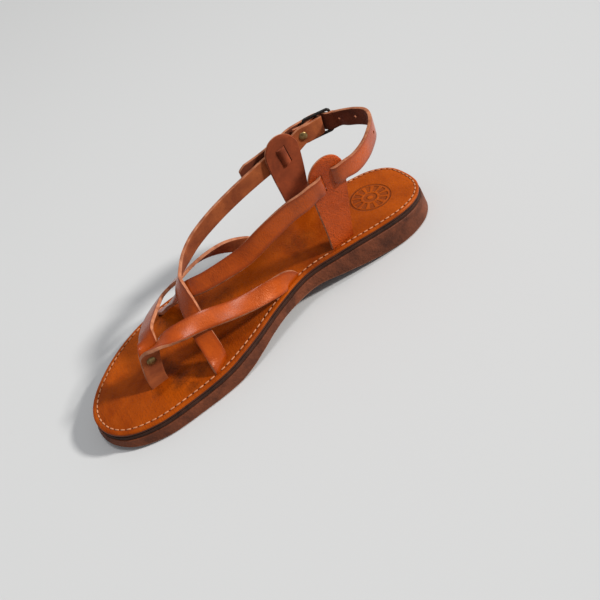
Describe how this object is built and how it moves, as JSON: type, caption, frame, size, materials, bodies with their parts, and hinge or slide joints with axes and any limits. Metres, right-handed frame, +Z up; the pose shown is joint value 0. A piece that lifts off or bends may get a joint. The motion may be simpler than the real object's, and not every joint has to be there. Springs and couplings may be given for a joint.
{
  "type": "strappy leather toe-post sandal",
  "caption": "Flat leather sandal for the right foot with a toe post, crossed instep straps, slotted heel ears and a buckled heel strap on a low layered sole.",
  "frame": {"origin": "on the floor below the middle of the sandal as seen from above", "axes": "+Z up, +Y from toe to heel, +X to the medial (inner) side of the foot"},
  "size_m": [0.095, 0.263, 0.0891],
  "materials": {
    "outsole_brown": "matte, finely grained, worn",
    "midsole_dark": "matte, waxed edge",
    "insole_leather": "smooth, burnished, satin",
    "strap_leather": "glossy grain side, suede flesh side",
    "ear_leather": "grained, satin",
    "buckle_metal": "black, satin",
    "rivet_brass": "antique, dull"
  },
  "bodies": {
    "root": {"outsole": "outsole_brown", "midsole": "midsole_dark", "insole": "insole_leather", "upper": "strap_leather", "heel_ear_medial": "ear_leather", "heel_ear_lateral": "ear_leather", "buckle_frame": "buckle_metal", "buckle_prong": "buckle_metal", "rivet_toe_post": "rivet_brass", "rivet_buckle_loop": "rivet_brass"}
  },
  "joints": []
}
